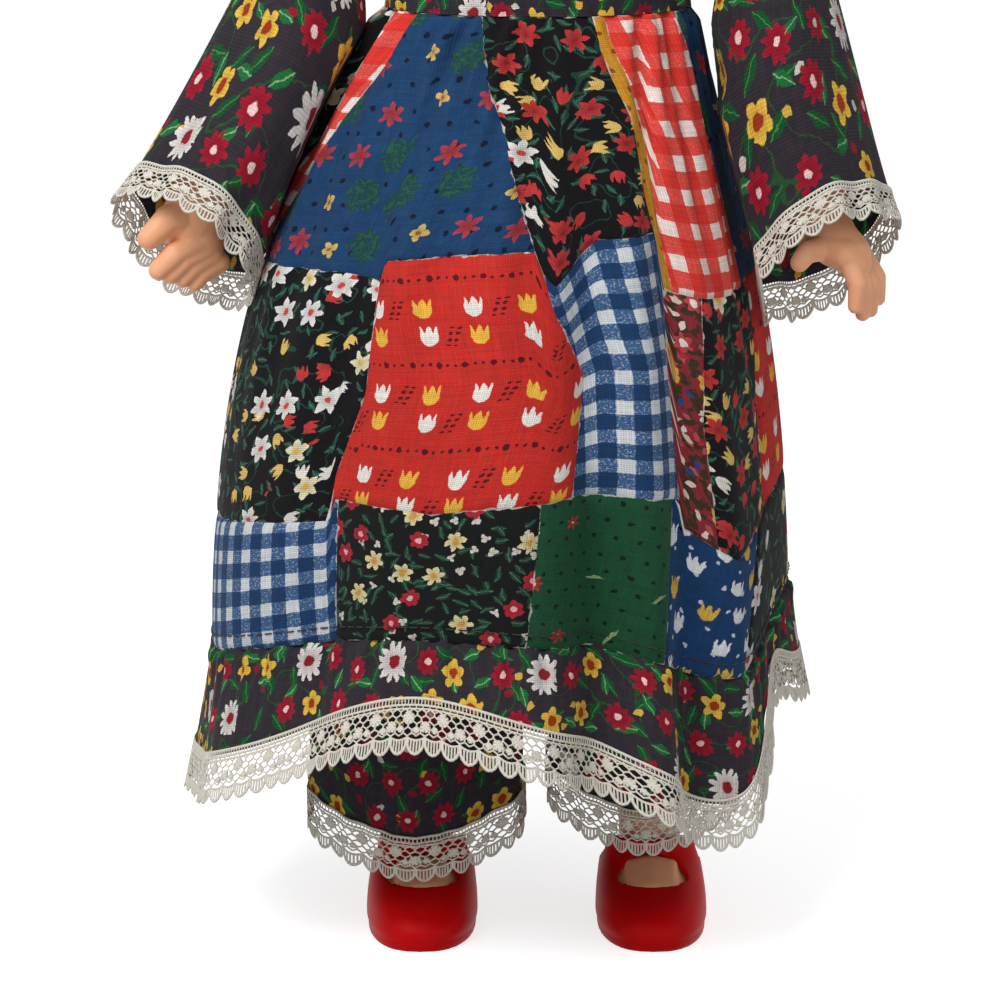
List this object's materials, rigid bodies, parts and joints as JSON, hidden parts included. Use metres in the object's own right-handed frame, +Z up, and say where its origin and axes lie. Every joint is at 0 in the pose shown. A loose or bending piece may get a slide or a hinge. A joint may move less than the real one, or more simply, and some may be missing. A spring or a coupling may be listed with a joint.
{
  "type": "dressed play doll",
  "caption": "Standing vinyl doll with turning head and swinging limbs, in a long patchwork dress with bell sleeves, lace-edged bloomers and strap shoes.",
  "frame": {"origin": "on the floor under the middle of the standing doll's bounding box", "axes": "+Z up; the doll looks along -Y, so its right hand is towards -X"},
  "size_m": [0.1994, 0.1698, 0.408],
  "materials": {
    "skin_vinyl": "satin",
    "hair_fibre": "silky",
    "shoe_vinyl": "satin",
    "plug_plastic": "matte",
    "dark_calico": "matte",
    "patchwork": "matte",
    "lace": "matte",
    "elastic": "matte",
    "snap_steel": "plain"
  },
  "bodies": {
    "torso": {"torso": "skin_vinyl", "neck_plug": "plug_plastic", "bodice": "dark_calico", "collar_lace": "lace", "back_placket": "dark_calico", "upper_snap_stud": "snap_steel", "upper_snap_socket": "snap_steel", "lower_snap_stud": "snap_steel", "lower_snap_socket": "snap_steel", "skirt": "patchwork", "skirt_ruffle": "dark_calico", "hem_lace": "lace", "bloomer_seat": "dark_calico", "bloomer_elastic": "elastic"},
    "head": {"head": "skin_vinyl", "hair": "hair_fibre"},
    "right_arm": {"right_arm": "skin_vinyl", "right_sleeve": "dark_calico", "right_cuff_lace": "lace"},
    "right_leg": {"right_leg": "skin_vinyl", "right_shoe": "shoe_vinyl", "right_bloomer_leg": "dark_calico", "right_bloomer_lace": "lace"},
    "left_arm": {"left_arm": "skin_vinyl", "left_sleeve": "dark_calico", "left_cuff_lace": "lace"},
    "left_leg": {"left_leg": "skin_vinyl", "left_shoe": "shoe_vinyl", "left_bloomer_leg": "dark_calico", "left_bloomer_lace": "lace"}
  },
  "joints": [
    {"name": "head_turn", "type": "hinge", "parent": "torso", "child": "head", "pos_m": [0.00817, 0.00339, 0.304], "axis": [0, 0, 1], "range_deg": [-75, 75]},
    {"name": "right_arm_swing", "type": "hinge", "parent": "torso", "child": "right_arm", "pos_m": [-0.02893, 0.00339, 0.282], "axis": [-1, 0, 0], "range_deg": [-60, 165]},
    {"name": "left_arm_swing", "type": "hinge", "parent": "torso", "child": "left_arm", "pos_m": [0.04527, 0.00339, 0.282], "axis": [-1, 0, 0], "range_deg": [-60, 165]},
    {"name": "right_leg_swing", "type": "hinge", "parent": "torso", "child": "right_leg", "pos_m": [-0.00483, 0.00339, 0.182], "axis": [-1, 0, 0], "range_deg": [-10, 10]},
    {"name": "left_leg_swing", "type": "hinge", "parent": "torso", "child": "left_leg", "pos_m": [0.02117, 0.00339, 0.182], "axis": [-1, 0, 0], "range_deg": [-10, 10]}
  ]
}
